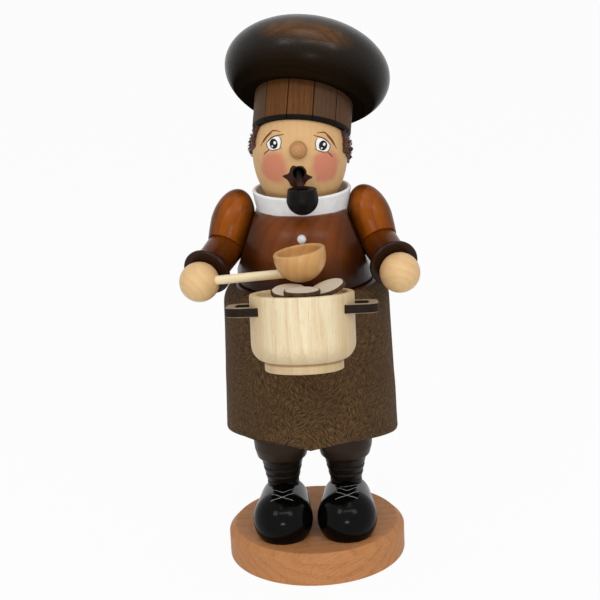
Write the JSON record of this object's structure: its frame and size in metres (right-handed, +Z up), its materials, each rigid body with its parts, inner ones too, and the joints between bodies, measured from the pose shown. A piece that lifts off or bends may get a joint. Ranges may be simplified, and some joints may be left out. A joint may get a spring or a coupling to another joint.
{
  "type": "incense smoker figure",
  "caption": "Turned wooden incense smoker of a cook with ladle, stock pot and leather apron; the hollow upper body lifts off an incense plate and smoke leaves by the mouth.",
  "frame": {"origin": "centre of the base's flat underside", "axes": "+Z up along the turned body, the cook faces -Y, +X is the cook's left hand side"},
  "size_m": [0.088, 0.1122, 0.2113],
  "materials": {
    "beech_base": "oiled beech",
    "dowel_wood": "plain beech dowel",
    "black_shoe": "black gloss lacquer on wood",
    "dark_leg": "dark brown lacquer on wood",
    "hip_stain": "dark brown stain on wood",
    "brass_plate": "smoke-stained brass sheet",
    "apron_leather": "brushed brown leather",
    "pot_maple": "clear lacquer on pale wood",
    "handle_ply": "grey-brown plywood with charred cut edges",
    "slice_wood": "pale branch slice with bark",
    "jacket_stain": "orange-brown stain, gloss lacquer",
    "white_paint": "white paint on wood",
    "face_wood": "natural wood with painted face",
    "hand_wood": "natural wood, satin lacquer",
    "hair_fleece": "red-brown fleece",
    "band_stain": "greyish brown stain",
    "puff_stain": "dark brown stain, gloss lacquer",
    "stem_wood": "brown stain",
    "pipe_black": "black satin lacquer",
    "cuff_stain": "dark brown stain, gloss lacquer",
    "ladle_stem": "pale plain dowel",
    "ladle_bowl": "clear lacquer on warm wood"
  },
  "bodies": {
    "lower_body": {"base_disc": "beech_base", "foot_dowels": "dowel_wood", "shoe_left": "black_shoe", "shoe_right": "black_shoe", "leg_left": "dark_leg", "leg_right": "dark_leg", "hip_block": "hip_stain", "hip_ring": "hip_stain", "incense_plate": "brass_plate", "plate_tacks": "brass_plate", "apron": "apron_leather", "pot": "pot_maple", "pot_dowel": "dowel_wood", "pot_handle_left": "handle_ply", "pot_handle_right": "handle_ply", "slice_left": "slice_wood", "slice_right": "slice_wood", "slice_front": "slice_wood"},
    "upper_body": {"jacket": "jacket_stain", "shoulder_dowels": "dowel_wood", "button": "white_paint", "collar": "white_paint", "neck_tube": "dowel_wood", "head": "face_wood", "nose": "face_wood", "hair": "hair_fleece", "hat_band": "band_stain", "hat_puff": "puff_stain", "hat_dowel": "dowel_wood", "pipe_stem": "stem_wood", "pipe_bowl": "pipe_black", "sleeve_left": "jacket_stain", "sleeve_right": "jacket_stain", "forearm_left": "cuff_stain", "forearm_right": "cuff_stain", "cuff_left": "cuff_stain", "cuff_right": "cuff_stain", "hand_left": "hand_wood", "hand_right": "hand_wood", "wrist_dowels": "dowel_wood", "ladle_stem": "ladle_stem", "ladle_bowl": "ladle_bowl"}
  },
  "joints": [
    {"name": "upper_lift", "type": "slide", "parent": "lower_body", "child": "upper_body", "axis": [0, 0, 1], "range_m": [0, 0.06]}
  ]
}
